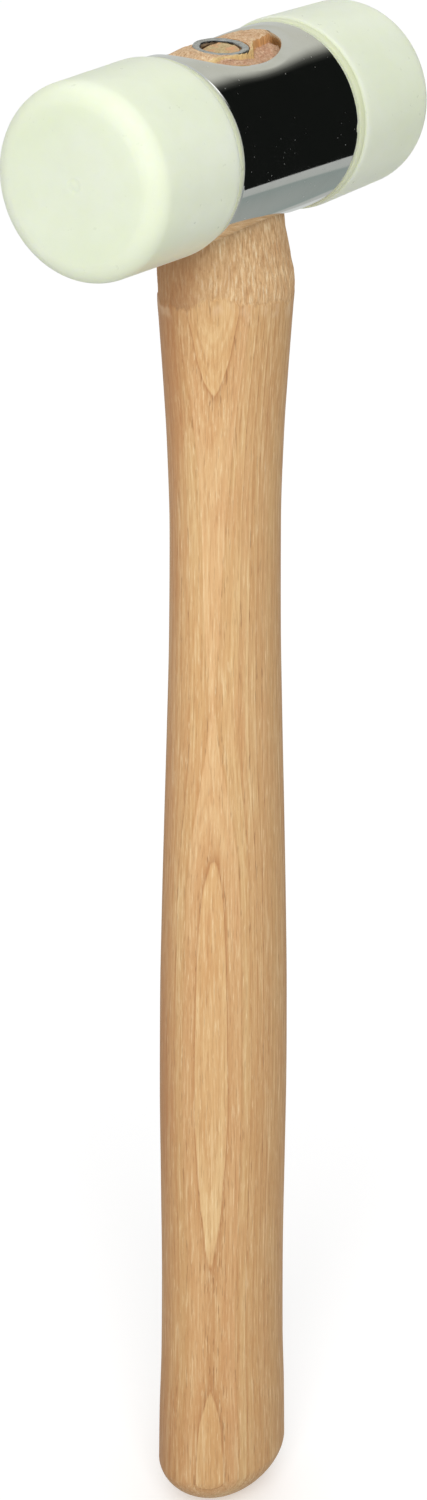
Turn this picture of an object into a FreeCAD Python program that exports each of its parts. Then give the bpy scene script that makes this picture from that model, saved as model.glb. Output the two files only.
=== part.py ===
import FreeCAD, Part
import math
import os

# Soft-faced hammer: two push-in nylon striking faces in a chromed steel tube,
# on a hickory handle that is locked in the tube's eye by a steel ring wedge.
#
# Millimetres.  +Z runs up the handle, +X along the head.  The origin is on the
# ground under the middle of the head, level with the lowest point of the butt.

V = FreeCAD.Vector

# ---- driving dimensions -------------------------------------------------
HEAD_Z = 292.2          # height of the head's axis above the end of the butt

# steel head tube, 35 x 2.5 precision tube
TUBE_R = 17.5           # outer radius
TUBE_WALL = 2.5
TUBE_LEN = 38.3
TUBE_CHAMFER = 0.25

# eye: one oval hole through both walls
EYE_A = 14.35           # half length, along the head
EYE_B = 9.2             # half width, across the head
EYE_LIP = 1.9           # rounding of the rolled-in rim

# nylon striking faces
HEAD_LEN = 93.1         # over both striking faces
SPIGOT_CLEAR = 0.05     # radial running clearance of the spigot in the tube
SPIGOT_IN = 14.75       # inner end of the spigot, from the middle of the head
SPIGOT_CHAMFER = 0.6
SEAT_GAP = 0.05         # between the tube's end and the collar
COLLAR_R = 17.45        # lip that meets the tube's end
COLLAR_GROOVE_R = 17.15
COLLAR_BAND_R = 17.82
SHOULDER_X = 21.25      # where the full-size body starts
BODY_R_REAR = 18.19     # body radius at the shoulder
BODY_R_FRONT = 17.72    # body radius at the striking face, from the draft
SHOULDER_ROUND = 0.45
FACE_EDGE_R = 4.0       # rounding of the striking edge
GATE_R = 1.15           # moulding gate mark in the middle of the face
GATE_DEPTH = 0.22

# hickory handle
HANDLE_DX = 1.4         # the grip stands a little off the eye's centre
HANDLE_DY = -0.26
OVAL = 0.708            # width / depth of the grip's oval
BUTT_DOME = 10.56       # height of the domed end
BUTT_EXP = 1.72         # fullness of the dome
BUTT_FLAT = 0.16        # size of the small flat on the dome's end
TENON_A = 14.3
TENON_B = 9.15
TENON_CROWN_R = 17.15   # the end grain is dressed nearly flush with the tube
CHIP_DROP = 1.75        # split-off step in the end grain
CHIP_Y = -3.6
CHIP_X = -5.5

# steel ring wedge
WEDGE_X = -1.6
WEDGE_Y = -0.8
WEDGE_TOP = 16.75       # above the head's axis
WEDGE_LEN = 12.0
WEDGE_R_TOP = 5.35
WEDGE_R_LOW = 5.0
WEDGE_BORE_TOP = 3.75
WEDGE_BORE_LOW = 4.7
PLUG_SINK = 0.75        # wood inside the ring lies this much below its rim

# half depth of the grip's oval against height below the head's axis
GRIP = [
    (-270.0, 16.32), (-255.0, 15.78), (-235.0, 15.60), (-215.0, 15.80),
    (-195.0, 16.02), (-175.0, 15.85), (-155.0, 15.35), (-135.0, 14.68),
    (-115.0, 13.96), (-95.0, 13.38), (-75.0, 13.20), (-58.0, 13.75),
    (-46.0, 14.55), (-38.0, 15.20), (-33.0, 15.62),
]
BUTT_A = 16.53

# rasped shoulder under the tube: height, half depth, half width, shift in X, Y
SHOULDER = [
    (-29.5, 15.92, 11.26, 1.40, -0.26),
    (-27.0, 15.92, 11.20, 1.30, -0.24),
    (-24.0, 15.70, 10.85, 0.85, -0.16),
    (-20.0, 15.30, 10.40, 0.35, -0.06),
    (-16.0, 14.95, 9.95, 0.05, 0.0),
    (-12.0, 14.70, 9.60, 0.0, 0.0),
]


def oval_wire(a, b, x, y, z):
    """Closed ellipse, long axis along X, at height z above the ground."""
    e = Part.Ellipse(V(x, y, z), a, b)
    return Part.Wire([e.toShape()])


def oval_prism(a, b, x, y, z0, z1):
    f = Part.Face(oval_wire(a, b, x, y, z0))
    return f.extrude(V(0, 0, z1 - z0))


def cone_z(r0, r1, x, y, z0, h):
    if abs(r0 - r1) < 1e-9:
        return Part.makeCylinder(r0, h, V(x, y, z0), V(0, 0, 1))
    return Part.makeCone(r0, r1, h, V(x, y, z0), V(0, 0, 1))


# ---- head tube ----------------------------------------------------------
def make_tube():
    half = TUBE_LEN / 2.0
    r_in = TUBE_R - TUBE_WALL
    c = TUBE_CHAMFER
    pts = [
        V(-half, 0, r_in + c), V(-half, 0, TUBE_R - c), V(-half + c, 0, TUBE_R),
        V(half - c, 0, TUBE_R), V(half, 0, TUBE_R - c), V(half, 0, r_in + c),
        V(half - c, 0, r_in), V(-half + c, 0, r_in), V(-half, 0, r_in + c),
    ]
    ring = Part.Face(Part.makePolygon(pts)).revolve(V(0, 0, 0), V(1, 0, 0), 360)
    ring.translate(V(0, 0, HEAD_Z))
    eye = oval_prism(EYE_A, EYE_B, 0, 0, HEAD_Z - 30, HEAD_Z + 30)
    body = ring.cut(eye)
    # the rims of the eye are rolled inwards: round the outer edges of the hole
    rim = []
    for e in body.Edges:
        p = e.valueAt(0.5 * (e.FirstParameter + e.LastParameter))
        y, z = p.y, p.z - HEAD_Z
        on_out = abs(math.hypot(y, z) - TUBE_R) < 0.02
        on_eye = abs((p.x / EYE_A) ** 2 + (p.y / EYE_B) ** 2 - 1.0) < 0.01
        if on_out and on_eye:
            rim.append(e)
    if rim:
        rounded = body.makeFillet(EYE_LIP, rim)
        if rounded.isValid() and rounded.Volume > 0.8 * body.Volume:
            body = rounded
    return body


# ---- nylon striking face, on the +X side --------------------------------
def make_face(side):
    r_sp = TUBE_R - TUBE_WALL - SPIGOT_CLEAR
    x0 = TUBE_LEN / 2.0 + SEAT_GAP
    xe = HEAD_LEN / 2.0
    slope = (BODY_R_FRONT - BODY_R_REAR) / (xe - SHOULDER_X)
    # rounding of the striking edge: arc tangent to the drafted side and the face
    ang = math.atan(slope)
    cx = xe - FACE_EDGE_R
    # the arc's centre lies FACE_EDGE_R inside the drafted side line
    cr = BODY_R_REAR + slope * (cx - SHOULDER_X) - FACE_EDGE_R / math.cos(ang)
    tx = cx - FACE_EDGE_R * math.sin(ang)
    tr = cr + FACE_EDGE_R * math.cos(ang)
    mid = math.radians(45)
    p_arc = [V(tx, 0, tr), V(cx + FACE_EDGE_R * math.sin(mid), 0, cr + FACE_EDGE_R * math.cos(mid)), V(xe, 0, cr)]
    s = SHOULDER_ROUND
    sh0 = V(SHOULDER_X, 0, BODY_R_REAR - s)
    sh1 = V(SHOULDER_X + s, 0, BODY_R_REAR + slope * s)
    shm = V(SHOULDER_X + s * (1 - math.cos(mid)), 0, BODY_R_REAR - s + s * math.sin(mid))
    poly1 = [
        V(SPIGOT_IN, 0, 0), V(SPIGOT_IN, 0, r_sp - SPIGOT_CHAMFER),
        V(SPIGOT_IN + SPIGOT_CHAMFER, 0, r_sp), V(x0, 0, r_sp),
        V(x0, 0, COLLAR_R), V(x0 + 0.30, 0, COLLAR_R),
        V(x0 + 0.45, 0, COLLAR_GROOVE_R), V(x0 + 0.70, 0, COLLAR_GROOVE_R),
        V(x0 + 0.90, 0, COLLAR_BAND_R), V(SHOULDER_X - 0.15, 0, COLLAR_BAND_R),
        V(SHOULDER_X, 0, COLLAR_BAND_R - 0.2), sh0,
    ]
    edges = [Part.LineSegment(poly1[i], poly1[i + 1]).toShape() for i in range(len(poly1) - 1)]
    edges.append(Part.Arc(sh0, shm, sh1).toShape())
    edges.append(Part.LineSegment(sh1, p_arc[0]).toShape())
    edges.append(Part.Arc(p_arc[0], p_arc[1], p_arc[2]).toShape())
    edges.append(Part.LineSegment(p_arc[2], V(xe, 0, 0)).toShape())
    edges.append(Part.LineSegment(V(xe, 0, 0), V(SPIGOT_IN, 0, 0)).toShape())
    face = Part.Face(Part.Wire(edges)).revolve(V(0, 0, 0), V(1, 0, 0), 360)
    gate = Part.makeCone(GATE_R, GATE_R * 0.7, GATE_DEPTH, V(xe, 0, 0), V(-1, 0, 0))
    face = face.cut(gate)
    if side < 0:
        face.rotate(V(0, 0, 0), V(0, 0, 1), 180)
    face.translate(V(0, 0, HEAD_Z))
    return face


# ---- handle -------------------------------------------------------------
def make_handle():
    # domed butt
    dome = []
    n = 9
    for i in range(n + 1):
        t = BUTT_FLAT + (1.0 - BUTT_FLAT) * math.sin(math.pi / 2 * i / n)
        drop = BUTT_DOME * (1.0 - t ** BUTT_EXP) ** (1.0 / BUTT_EXP) if t < 1 else 0.0
        dome.append((t, BUTT_DOME - drop))
    low = dome[0][1]
    wires = []
    for t, h in dome:
        z = (h - low) * BUTT_DOME / (BUTT_DOME - low)
        wires.append(oval_wire(BUTT_A * t, BUTT_A * OVAL * t, HANDLE_DX, HANDLE_DY, z))
    butt = Part.makeLoft(wires, True, False)
    # grip and shoulder
    wires = [oval_wire(BUTT_A, BUTT_A * OVAL, HANDLE_DX, HANDLE_DY, BUTT_DOME)]
    for z, a in GRIP:
        wires.append(oval_wire(a, a * OVAL, HANDLE_DX, HANDLE_DY, HEAD_Z + z))
    for z, a, b, dx, dy in SHOULDER:
        wires.append(oval_wire(a, b, dx, dy, HEAD_Z + z))
    grip = Part.makeLoft(wires, True, False)
    # the shoulder is dressed to sit on the tube
    saddle = Part.makeCylinder(TUBE_R, 80, V(-40, 0, HEAD_Z), V(1, 0, 0))
    grip = grip.cut(saddle)
    # tenon through the eye, its end grain dressed to the tube's curve
    tenon = oval_prism(TENON_A, TENON_B, 0, 0, HEAD_Z - 22, HEAD_Z + 20)
    crown = Part.makeCylinder(TENON_CROWN_R, 80, V(-40, 0, HEAD_Z), V(1, 0, 0))
    keep = crown.fuse(Part.makeBox(80, 80, 40, V(-40, -40, HEAD_Z - 40)))
    tenon = tenon.common(keep)
    # split-off step at one corner of the end grain
    z_top = HEAD_Z + TENON_CROWN_R
    chip_pts = [
        V(CHIP_X, -20, 0), V(CHIP_X + 3.5, CHIP_Y - 1.2, 0), V(4.5, CHIP_Y, 0),
        V(10.5, CHIP_Y + 2.2, 0), V(20, CHIP_Y + 2.8, 0), V(20, -20, 0), V(CHIP_X, -20, 0),
    ]
    chip = Part.Face(Part.makePolygon(chip_pts)).extrude(V(0, 0, 10))
    chip.translate(V(0, 0, z_top - CHIP_DROP))
    tenon = tenon.cut(chip)
    handle = butt.fuse(grip).fuse(tenon)
    # seat of the ring wedge, with the wood inside it a little lower
    handle = handle.cut(make_seat())
    return handle.removeSplitter()


# ---- ring wedge ---------------------------------------------------------
def make_wedge():
    z0 = HEAD_Z + WEDGE_TOP - WEDGE_LEN
    outer = cone_z(WEDGE_R_LOW, WEDGE_R_TOP, WEDGE_X, WEDGE_Y, z0, WEDGE_LEN)
    bore = cone_z(WEDGE_BORE_LOW, WEDGE_BORE_TOP, WEDGE_X, WEDGE_Y, z0, WEDGE_LEN)
    return outer.cut(bore)


def make_seat():
    """Room for the wedge in the tenon: its own shape, open upwards."""
    z0 = HEAD_Z + WEDGE_TOP - WEDGE_LEN
    z1 = HEAD_Z + WEDGE_TOP + 5.0
    out_rate = (WEDGE_R_TOP - WEDGE_R_LOW) / WEDGE_LEN
    in_rate = (WEDGE_BORE_TOP - WEDGE_BORE_LOW) / WEDGE_LEN
    z_plug = HEAD_Z + WEDGE_TOP - PLUG_SINK
    pts = [
        V(WEDGE_BORE_LOW, 0, z0), V(WEDGE_R_LOW, 0, z0),
        V(WEDGE_R_LOW + out_rate * (z1 - z0), 0, z1), V(0, 0, z1), V(0, 0, z_plug),
        V(WEDGE_BORE_LOW + in_rate * (z_plug - z0), 0, z_plug), V(WEDGE_BORE_LOW, 0, z0),
    ]
    seat = Part.Face(Part.makePolygon(pts)).revolve(V(0, 0, 0), V(0, 0, 1), 360)
    seat.translate(V(WEDGE_X, WEDGE_Y, 0))
    return seat


parts = {
    "head_tube": make_tube(),
    "striking_face_left": make_face(-1),
    "striking_face_right": make_face(1),
    "handle": make_handle(),
    "ring_wedge": make_wedge(),
}

os.makedirs("parts", exist_ok=True)
for name, shape in parts.items():
    solids = shape.Solids
    if len(solids) == 1:
        shape = solids[0]
    b = shape.BoundBox
    print("%-20s solids %d valid %s volume %.1f  x %.2f..%.2f y %.2f..%.2f z %.2f..%.2f" % (
        name, len(solids), shape.isValid(), shape.Volume,
        b.XMin, b.XMax, b.YMin, b.YMax, b.ZMin, b.ZMax))
    shape.exportStep("parts/" + name + ".step")
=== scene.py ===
import math
import bpy
import numpy as np
from mathutils import Vector, Matrix


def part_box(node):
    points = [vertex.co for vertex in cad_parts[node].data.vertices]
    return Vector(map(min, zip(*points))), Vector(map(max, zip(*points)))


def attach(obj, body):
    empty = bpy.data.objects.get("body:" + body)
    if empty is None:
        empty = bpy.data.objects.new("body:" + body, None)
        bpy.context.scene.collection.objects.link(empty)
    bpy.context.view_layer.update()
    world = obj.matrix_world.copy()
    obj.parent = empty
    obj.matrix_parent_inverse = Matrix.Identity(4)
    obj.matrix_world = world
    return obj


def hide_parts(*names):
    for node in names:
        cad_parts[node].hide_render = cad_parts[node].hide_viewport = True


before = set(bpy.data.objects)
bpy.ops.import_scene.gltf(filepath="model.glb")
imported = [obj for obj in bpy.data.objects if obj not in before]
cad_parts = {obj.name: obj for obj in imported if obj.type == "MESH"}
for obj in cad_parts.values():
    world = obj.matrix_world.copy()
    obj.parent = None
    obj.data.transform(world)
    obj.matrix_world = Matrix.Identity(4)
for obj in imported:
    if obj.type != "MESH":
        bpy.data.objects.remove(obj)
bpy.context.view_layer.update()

MM = 0.001
tube_lo, tube_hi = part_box("head_tube")
HZ = 0.5 * (tube_lo.z + tube_hi.z) * 1000.0        # height of the head's axis, mm
TUBE_HALF = tube_hi.x * 1000.0
TUBE_R = tube_hi.y * 1000.0

scene = bpy.context.scene
scene.view_settings.view_transform = "Standard"
scene.view_settings.look = "None"
scene.view_settings.exposure = 0.0
scene.view_settings.gamma = 1.0


# ---------------------------------------------------------------- helpers
def new_object(name, verts_mm, faces, smooth=True, sharp=None):
    me = bpy.data.meshes.new(name)
    v = np.asarray(verts_mm, float) * MM
    me.from_pydata([tuple(p) for p in v], [], [tuple(int(i) for i in f) for f in faces])
    me.validate(verbose=False)
    me.update()
    if smooth:
        me.polygons.foreach_set("use_smooth", [True] * len(me.polygons))
        if sharp is not None:
            me.set_sharp_from_angle(angle=math.radians(sharp))
    ob = bpy.data.objects.new(name, me)
    scene.collection.objects.link(ob)
    return ob


def grid_faces(nu, nv, wrap_v=True, off=0, flip=False):
    """Quads of a grid of nu rows of nv points each, rows joined in order."""
    out = []
    lim = nv if wrap_v else nv - 1
    for i in range(nu - 1):
        for j in range(lim):
            k = (j + 1) % nv
            q = (off + i * nv + j, off + i * nv + k, off + (i + 1) * nv + k, off + (i + 1) * nv + j)
            out.append(q[::-1] if flip else q)
    return out


def pchip(xs, ys, x):
    """Monotone cubic through the points, for smooth profiles with no overshoot."""
    xs, ys, x = map(lambda a: np.asarray(a, float), (xs, ys, x))
    h = np.diff(xs)
    d = np.diff(ys) / h
    m = np.zeros_like(ys)
    for i in range(1, len(xs) - 1):
        if d[i - 1] * d[i] > 0:
            w1, w2 = 2 * h[i] + h[i - 1], h[i] + 2 * h[i - 1]
            m[i] = (w1 + w2) / (w1 / d[i - 1] + w2 / d[i])
    m[0], m[-1] = d[0], d[-1]
    i = np.clip(np.searchsorted(xs, x) - 1, 0, len(h) - 1)
    t = (x - xs[i]) / h[i]
    t = np.clip(t, 0, 1)
    return ((2 * t**3 - 3 * t**2 + 1) * ys[i] + (t**3 - 2 * t**2 + t) * h[i] * m[i]
            + (-2 * t**3 + 3 * t**2) * ys[i + 1] + (t**3 - t**2) * h[i] * m[i + 1])


def smoothstep(a, b, x):
    t = np.clip((x - a) / (b - a), 0.0, 1.0)
    return t * t * (3 - 2 * t)


def lattice(seed, nx, ny, nz):
    return np.random.RandomState(seed).uniform(-1, 1, (nx, ny, nz))


def noise3(p, scale, seed):
    """Smooth value noise of points p (N,3) in mm, one cell being scale mm (a number or three)."""
    n = 32
    L = lattice(seed, n, n, n)
    q = np.asarray(p, float) / np.asarray(scale, float) + 517.3
    i = np.floor(q).astype(int)
    f = q - i
    f = f * f * (3 - 2 * f)
    i %= n
    j = (i + 1) % n
    x0, y0, z0 = i.T
    x1, y1, z1 = j.T
    fx, fy, fz = f.T
    c00 = L[x0, y0, z0] * (1 - fx) + L[x1, y0, z0] * fx
    c10 = L[x0, y1, z0] * (1 - fx) + L[x1, y1, z0] * fx
    c01 = L[x0, y0, z1] * (1 - fx) + L[x1, y0, z1] * fx
    c11 = L[x0, y1, z1] * (1 - fx) + L[x1, y1, z1] * fx
    c0 = c00 * (1 - fy) + c10 * fy
    c1 = c01 * (1 - fy) + c11 * fy
    return c0 * (1 - fz) + c1 * fz


def revolve_x(profile, seg, centre_z):
    """Closed surface from (x, r) points round the head's axis; the ends with r = 0 close it."""
    th = np.linspace(0, 2 * math.pi, seg, endpoint=False)
    verts, faces = [], []
    rows = []
    for x, r in profile:
        if r < 1e-9:
            rows.append([len(verts)])
            verts.append((x, 0, centre_z))
        else:
            rows.append(list(range(len(verts), len(verts) + seg)))
            for t in th:
                verts.append((x, r * math.sin(t), centre_z + r * math.cos(t)))
    for a, b in zip(rows[:-1], rows[1:]):
        if len(a) == 1 and len(b) == 1:
            continue
        for j in range(seg):
            k = (j + 1) % seg
            if len(a) == 1:
                faces.append((a[0], b[j], b[k]))
            elif len(b) == 1:
                faces.append((a[j], b[0], a[k]))
            else:
                faces.append((a[j], b[j], b[k], a[k]))
    return np.array(verts), faces


def arc(cx, cr, rad, a0, a1, n):
    """Points of an arc in the (x, r) plane; angles in degrees from the +r direction towards +x."""
    out = []
    for t in np.linspace(math.radians(a0), math.radians(a1), n):
        out.append((cx + rad * math.sin(t), cr + rad * math.cos(t)))
    return out


# ---------------------------------------------------------------- node helpers
class Nodes:
    def __init__(self, name):
        self.mat = bpy.data.materials.new(name)
        self.mat.use_nodes = True
        self.t = self.mat.node_tree
        self.t.nodes.clear()
        self.out = self.t.nodes.new("ShaderNodeOutputMaterial")
        self.bsdf = self.t.nodes.new("ShaderNodeBsdfPrincipled")
        self.t.links.new(self.bsdf.outputs[0], self.out.inputs[0])
        self._obj = None

    def link(self, a, b):
        self.t.links.new(a, b)

    def obj(self):
        if self._obj is None:
            self._obj = self.t.nodes.new("ShaderNodeTexCoord").outputs["Object"]
        return self._obj

    def mapping(self, scale=(1, 1, 1), loc=(0, 0, 0), rot=(0, 0, 0), src=None):
        m = self.t.nodes.new("ShaderNodeMapping")
        m.inputs["Scale"].default_value = scale
        m.inputs["Location"].default_value = loc
        m.inputs["Rotation"].default_value = rot
        self.link(src or self.obj(), m.inputs["Vector"])
        return m.outputs[0]

    def noise(self, vec, scale=1.0, detail=4.0, rough=0.5, dist=0.0, kind="FBM"):
        n = self.t.nodes.new("ShaderNodeTexNoise")
        n.inputs["Scale"].default_value = scale
        n.inputs["Detail"].default_value = detail
        n.inputs["Roughness"].default_value = rough
        n.inputs["Distortion"].default_value = dist
        self.link(vec, n.inputs["Vector"])
        return n.outputs["Fac"]

    def voronoi(self, vec, scale=1.0, feature="F1", rand=1.0):
        n = self.t.nodes.new("ShaderNodeTexVoronoi")
        n.feature = feature
        n.inputs["Scale"].default_value = scale
        n.inputs["Randomness"].default_value = rand
        self.link(vec, n.inputs["Vector"])
        return n.outputs["Distance"]

    def math(self, op, a, b=None, c=None, clamp=False):
        m = self.t.nodes.new("ShaderNodeMath")
        m.operation = op
        m.use_clamp = clamp
        for i, v in enumerate((a, b, c)):
            if v is None:
                continue
            if isinstance(v, (int, float)):
                m.inputs[i].default_value = v
            else:
                self.link(v, m.inputs[i])
        return m.outputs[0]

    def ramp(self, fac, stops, interp="LINEAR"):
        r = self.t.nodes.new("ShaderNodeValToRGB")
        r.color_ramp.interpolation = interp
        e = r.color_ramp.elements
        while len(e) < len(stops):
            e.new(0.5)
        for el, (pos, col) in zip(e, stops):
            el.position = pos
            if isinstance(col, (int, float)):
                col = (col, col, col)
            el.color = (*col, 1.0)
        self.link(fac, r.inputs[0])
        return r.outputs[0]

    def remap(self, v, a, b, c=0.0, d=1.0, smooth=False):
        m = self.t.nodes.new("ShaderNodeMapRange")
        m.clamp = True
        if smooth:
            m.interpolation_type = "SMOOTHSTEP"
        m.inputs["From Min"].default_value = a
        m.inputs["From Max"].default_value = b
        m.inputs["To Min"].default_value = c
        m.inputs["To Max"].default_value = d
        self.link(v, m.inputs["Value"])
        return m.outputs["Result"]

    def mix(self, fac, a, b, mode="MIX"):
        m = self.t.nodes.new("ShaderNodeMix")
        m.data_type = "RGBA"
        m.blend_type = mode
        m.clamp_factor = True
        ins = [s for s in m.inputs if s.type == "RGBA"]
        f = [s for s in m.inputs if s.type == "VALUE"][0]
        for sock, v in ((f, fac), (ins[0], a), (ins[1], b)):
            if isinstance(v, (int, float)):
                sock.default_value = v if sock.type == "VALUE" else (v, v, v, 1)
            elif isinstance(v, tuple):
                sock.default_value = (*v, 1.0)
            else:
                self.link(v, sock)
        return [s for s in m.outputs if s.type == "RGBA"][0]

    def sep(self, vec):
        s = self.t.nodes.new("ShaderNodeSeparateXYZ")
        self.link(vec, s.inputs[0])
        return s.outputs

    def comb(self, x, y, z):
        s = self.t.nodes.new("ShaderNodeCombineXYZ")
        for i, v in enumerate((x, y, z)):
            if isinstance(v, (int, float)):
                s.inputs[i].default_value = v
            else:
                self.link(v, s.inputs[i])
        return s.outputs[0]

    def bump(self, height, dist, strength=1.0, normal=None):
        b = self.t.nodes.new("ShaderNodeBump")
        b.inputs["Strength"].default_value = strength
        b.inputs["Distance"].default_value = dist
        self.link(height, b.inputs["Height"])
        if normal is not None:
            self.link(normal, b.inputs["Normal"])
        return b.outputs[0]


def srgb(r, g, b):
    def f(c):
        c /= 255.0
        return c / 12.92 if c <= 0.04045 else ((c + 0.055) / 1.055) ** 2.4
    return (f(r), f(g), f(b))


# ---------------------------------------------------------------- camera
def make_camera():
    az, el, roll = math.radians(56.75), math.radians(22.72), math.radians(0.15)
    dist, tx, tz, f = 652.16, -1.50, -111.98, 3579.3
    fwd = Vector((math.sin(az) * math.cos(el), math.cos(az) * math.cos(el), -math.sin(el)))
    right = Vector((math.cos(az), -math.sin(az), 0))
    up = right.cross(fwd)
    c, s = math.cos(roll), math.sin(roll)
    r = right * c + up * s
    u = up * c - right * s
    pos = r * tx + u * tz - fwd * dist + Vector((0, 0, HZ))
    cam = bpy.data.cameras.new("camera")
    cam.lens = f / 1500.0 * 36.0
    cam.sensor_width = 36.0
    cam.clip_start, cam.clip_end = 0.01, 50.0
    ob = bpy.data.objects.new("camera", cam)
    scene.collection.objects.link(ob)
    m = Matrix.Identity(4)
    for i in range(3):
        m[i][0], m[i][1], m[i][2] = r[i], u[i], -fwd[i]
        m[i][3] = pos[i] * MM
    ob.matrix_world = m
    scene.camera = ob
    return ob


# ---------------------------------------------------------------- nylon faces
def nylon_profile():
    r_sp, x0 = 14.95, 19.20
    xe, xs = 46.55, 21.25
    r1, r2 = 18.17, 17.72
    slope = (r2 - r1) / (xe - xs)
    ang = math.atan(slope)
    er = 4.0
    cx = xe - er
    cr = r1 + slope * (cx - xs) - er / math.cos(ang)
    p = [(14.75, 0.0)]
    p += [(14.75, r) for r in (4.0, 9.0, 13.0)]
    p += [(14.75, r_sp - 0.6), (15.35, r_sp), (16.5, r_sp), (18.0, r_sp), (x0, r_sp)]
    p += [(x0, 15.8), (x0, 17.0), (x0, 17.36), (x0 + 0.04, 17.46), (x0 + 0.12, 17.51), (x0 + 0.28, 17.52)]
    p += [(x0 + 0.33, 17.48), (x0 + 0.38, 17.38), (x0 + 0.44, 17.35), (x0 + 0.50, 17.38), (x0 + 0.56, 17.54)]
    p += [(x0 + 0.64, 17.67), (x0 + 0.85, 17.75), (x0 + 1.20, 17.81), (xs - 0.40, 17.84), (xs - 0.20, 17.83)]
    p += [(xs - 0.10, 17.80), (xs - 0.02, 17.75), (xs + 0.03, 17.76), (xs + 0.12, 17.86), (xs + 0.32, 17.98)]
    p += [(xs + 0.65, r1 - 0.09), (xs + 1.10, r1 - 0.035)]
    xb = np.linspace(xs + 1.7, cx - er * math.sin(-ang) - 0.2, 14)
    p += [(x, r1 + slope * (x - xs)) for x in xb]
    p += arc(cx, cr, er, math.degrees(ang), 90, 26)[0:]
    # flat striking face down to the gate mark
    p += [(xe, r) for r in (cr - 0.3, 11.5, 9.5, 7.5, 5.5, 3.8, 2.6, 1.9, 1.55)]
    p += [(xe - 0.02, 1.40), (xe - 0.10, 1.25), (xe - 0.18, 1.05), (xe - 0.20, 0.85), (xe - 0.16, 0.55), (xe - 0.10, 0.3), (xe - 0.09, 0.0)]
    return p


def make_face(name, side, body, node, mat):
    v, f = revolve_x(nylon_profile(), 224, 0.0)
    if side < 0:
        v[:, 0] *= -1
        f = [q[::-1] for q in f]
    v[:, 2] += HZ
    ob = new_object(name, v, f, sharp=34)
    ob.data.materials.append(mat)
    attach(ob, body)
    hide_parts(node)
    return ob


def nylon_material():
    n = Nodes("nylon")
    b = n.bsdf
    v = n.mapping((1000, 1000, 1000))
    big = n.noise(v, 0.045, 3, 0.5)
    mid = n.noise(v, 0.22, 3, 0.55)
    tint = n.ramp(big, [(0.36, srgb(233, 241, 218)), (0.64, srgb(237, 244, 226))])
    col = n.mix(n.remap(mid, 0.35, 0.65, 0, 0.25), tint, srgb(229, 236, 209))
    # painted shade: the recessed collar between the tube and the body is tinted darker and yellower
    nx, ny, nz = n.sep(v)
    col = n.mix(n.remap(n.math("ABSOLUTE", nx), 21.7, 20.9, 0, 0.62), col, srgb(212, 219, 172))
    n.link(col, b.inputs["Base Color"])
    b.inputs["IOR"].default_value = 1.53
    b.inputs["Subsurface Weight"].default_value = 0.85
    b.inputs["Subsurface Radius"].default_value = (1.0, 1.0, 0.72)
    b.inputs["Subsurface Scale"].default_value = 0.0045
    rough = n.remap(n.noise(v, 0.6, 4, 0.6), 0.3, 0.7, 0.27, 0.38)
    n.link(rough, b.inputs["Roughness"])
    # faint moulding texture and handling marks
    h = n.math("ADD", n.math("MULTIPLY", n.noise(v, 1.6, 5, 0.6), 0.6), n.math("MULTIPLY", n.noise(v, 0.18, 2, 0.5), 1.6))
    n.link(n.bump(h, 0.00006, 0.55), b.inputs["Normal"])
    return n.mat


# ---------------------------------------------------------------- head tube
EYE_A, EYE_B = 14.35, 9.2


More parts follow.
